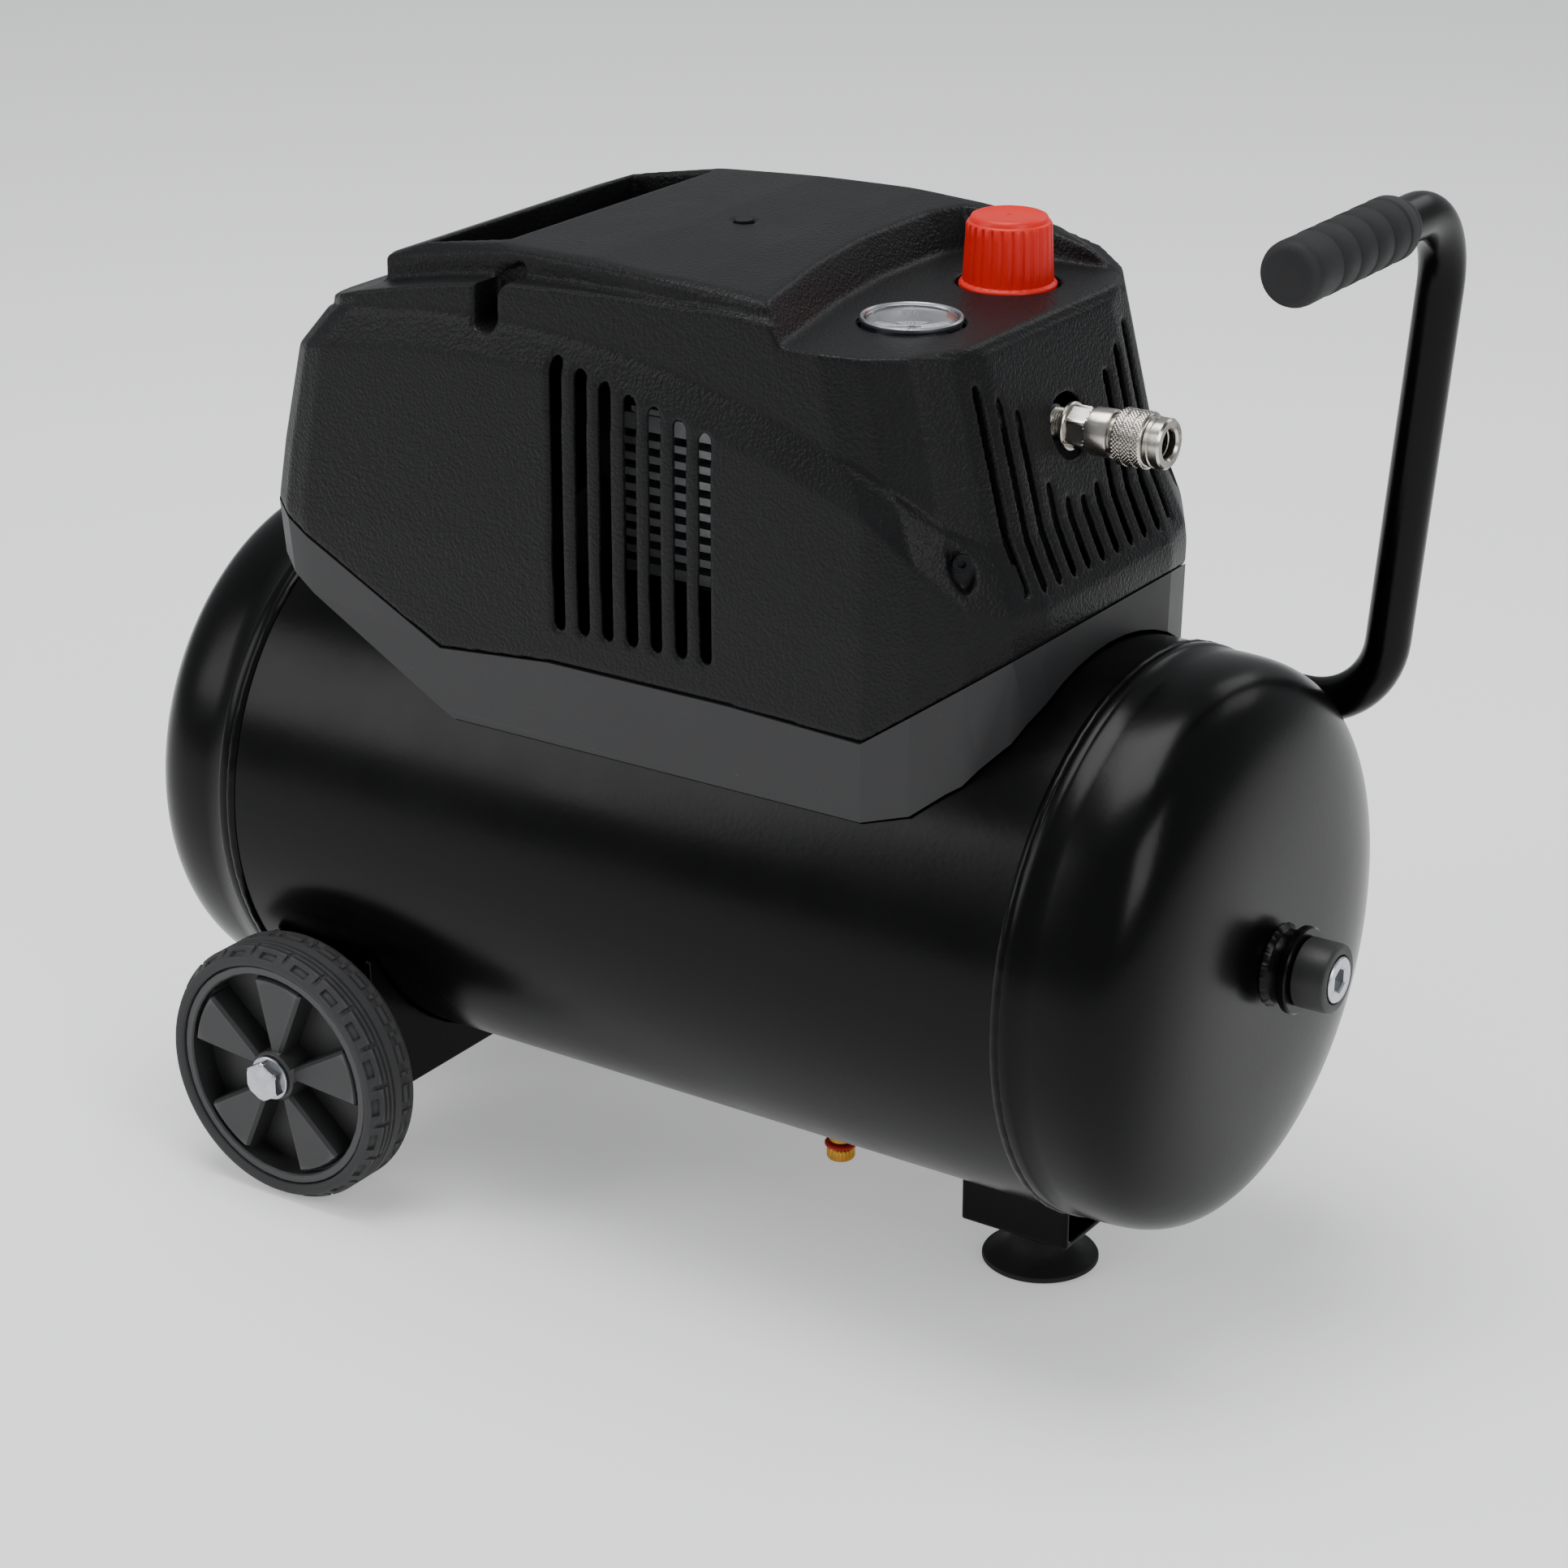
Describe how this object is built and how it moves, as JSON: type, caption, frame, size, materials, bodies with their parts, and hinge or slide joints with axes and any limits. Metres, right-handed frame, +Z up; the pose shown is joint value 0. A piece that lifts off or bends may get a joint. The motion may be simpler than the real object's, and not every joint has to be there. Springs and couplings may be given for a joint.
{
  "type": "air compressor",
  "caption": "Horizontal-tank air compressor: black cylindrical air tank on two wheels and a rubber foot, moulded pump hood, red regulator knob, pressure gauge, quick coupler and L handle.",
  "frame": {"origin": "centre of the bounding box at ground level, where the wheels and the foot rest", "axes": "+X along the tank axis toward the handle and outlet end, +Y to the rear side where the handle leg is welded, +Z up"},
  "size_m": [0.5641, 0.314, 0.4913],
  "materials": {
    "paint": "gloss black coat",
    "black_fitting": "satin black",
    "zinc": "bright zinc plate",
    "brass": "turned",
    "seal": "soft",
    "tyre": "matt moulded",
    "rim": "satin moulded",
    "rubber": "matt",
    "grip": "matt foam rubber",
    "hood": "fine grain",
    "skirt": "fine grain",
    "red_knob": "satin red",
    "alloy": "as cast",
    "dial": "white",
    "needle": "matt black",
    "lens": "clear",
    "nickel": "nickel plate",
    "black_plastic": "satin"
  },
  "bodies": {
    "base": {"tank_shell": "paint", "tank_head_left": "paint", "tank_head_right": "paint", "port_flange": "paint", "drain_boss": "paint", "wheel_bracket": "paint", "foot_bracket": "paint", "handle_tube": "paint", "pump_saddle": "paint", "port_reducer": "black_fitting", "cable_gland": "black_fitting", "port_plug": "zinc", "axle_bolt_front": "zinc", "axle_bolt_rear": "zinc", "axle_nut_front": "zinc", "axle_nut_rear": "zinc", "foot_bolt": "zinc", "gauge_case": "zinc", "hood_screw_left_front": "zinc", "hood_screw_left_rear": "zinc", "hood_screw_right_front": "zinc", "hood_screw_right_rear": "zinc", "drain_stem": "brass", "delivery_pipe": "brass", "check_valve": "brass", "safety_valve": "brass", "drain_seal": "seal", "foot_rubber": "rubber", "handle_grip": "grip", "hood_cover": "hood", "hood_plug": "hood", "hood_skirt": "skirt", "regulator_body": "alloy", "crankcase": "alloy", "cylinder_barrel": "alloy", "cylinder_head": "alloy", "outlet_manifold": "alloy", "motor_stator": "alloy", "gauge_dial": "dial", "motor_capacitor": "dial", "gauge_lens": "lens", "coupler_body": "nickel", "motor_housing": "black_plastic", "motor_end_bell": "black_plastic", "intake_filter": "black_plastic", "pressure_switch": "black_plastic"},
    "wheel_front": {"wheel_tyre_front": "tyre", "wheel_hub_front": "rim"},
    "wheel_rear": {"wheel_tyre_rear": "tyre", "wheel_hub_rear": "rim"},
    "knob": {"regulator_knob": "red_knob"},
    "needle": {"gauge_needle": "needle"},
    "sleeve": {"coupler_sleeve": "nickel"},
    "drain_cap_body": {"drain_cap": "brass"},
    "rotor": {"motor_shaft": "zinc", "cooling_fan": "black_plastic"},
    "piston_body": {"piston": "alloy"},
    "safety_pin": {"safety_pull": "zinc"}
  },
  "joints": [
    {"name": "wheel_front_spin", "type": "hinge", "parent": "base", "child": "wheel_front", "pos_m": [-0.17875, -0.1355, 0.0622], "axis": [0, 1, 0], "continuous": true},
    {"name": "wheel_rear_spin", "type": "hinge", "parent": "base", "child": "wheel_rear", "pos_m": [-0.17875, 0.1355, 0.0622], "axis": [0, 1, 0], "continuous": true},
    {"name": "regulator_turn", "type": "hinge", "parent": "base", "child": "knob", "pos_m": [0.09275, 0.0385, 0.4357], "axis": [0, 0, 1], "range_deg": [-150, 150]},
    {"name": "gauge_needle_turn", "type": "hinge", "parent": "base", "child": "needle", "pos_m": [0.09275, -0.0385, 0.4317], "axis": [0, 0, 1], "range_deg": [-270, 0]},
    {"name": "coupler_sleeve_slide", "type": "slide", "parent": "base", "child": "sleeve", "axis": [1, 0, 0], "range_m": [-0.0022, 0], "stiffness_N_per_m": 800},
    {"name": "drain_cap_turn", "type": "hinge", "parent": "base", "child": "drain_cap_body", "pos_m": [0.03625, 0, 0.0217], "axis": [0, 0, 1], "range_deg": [0, 270]},
    {"name": "motor_spin", "type": "hinge", "parent": "base", "child": "rotor", "pos_m": [-0.07325, 0, 0.3557], "axis": [1, 0, 0], "continuous": true},
    {"name": "piston_stroke", "type": "slide", "parent": "base", "child": "piston_body", "axis": [0, 0, 1], "range_m": [-0.007, 0.007]},
    {"name": "safety_pull_slide", "type": "slide", "parent": "base", "child": "safety_pin", "axis": [0, 1, 0], "range_m": [0, 0.003], "stiffness_N_per_m": 600}
  ]
}
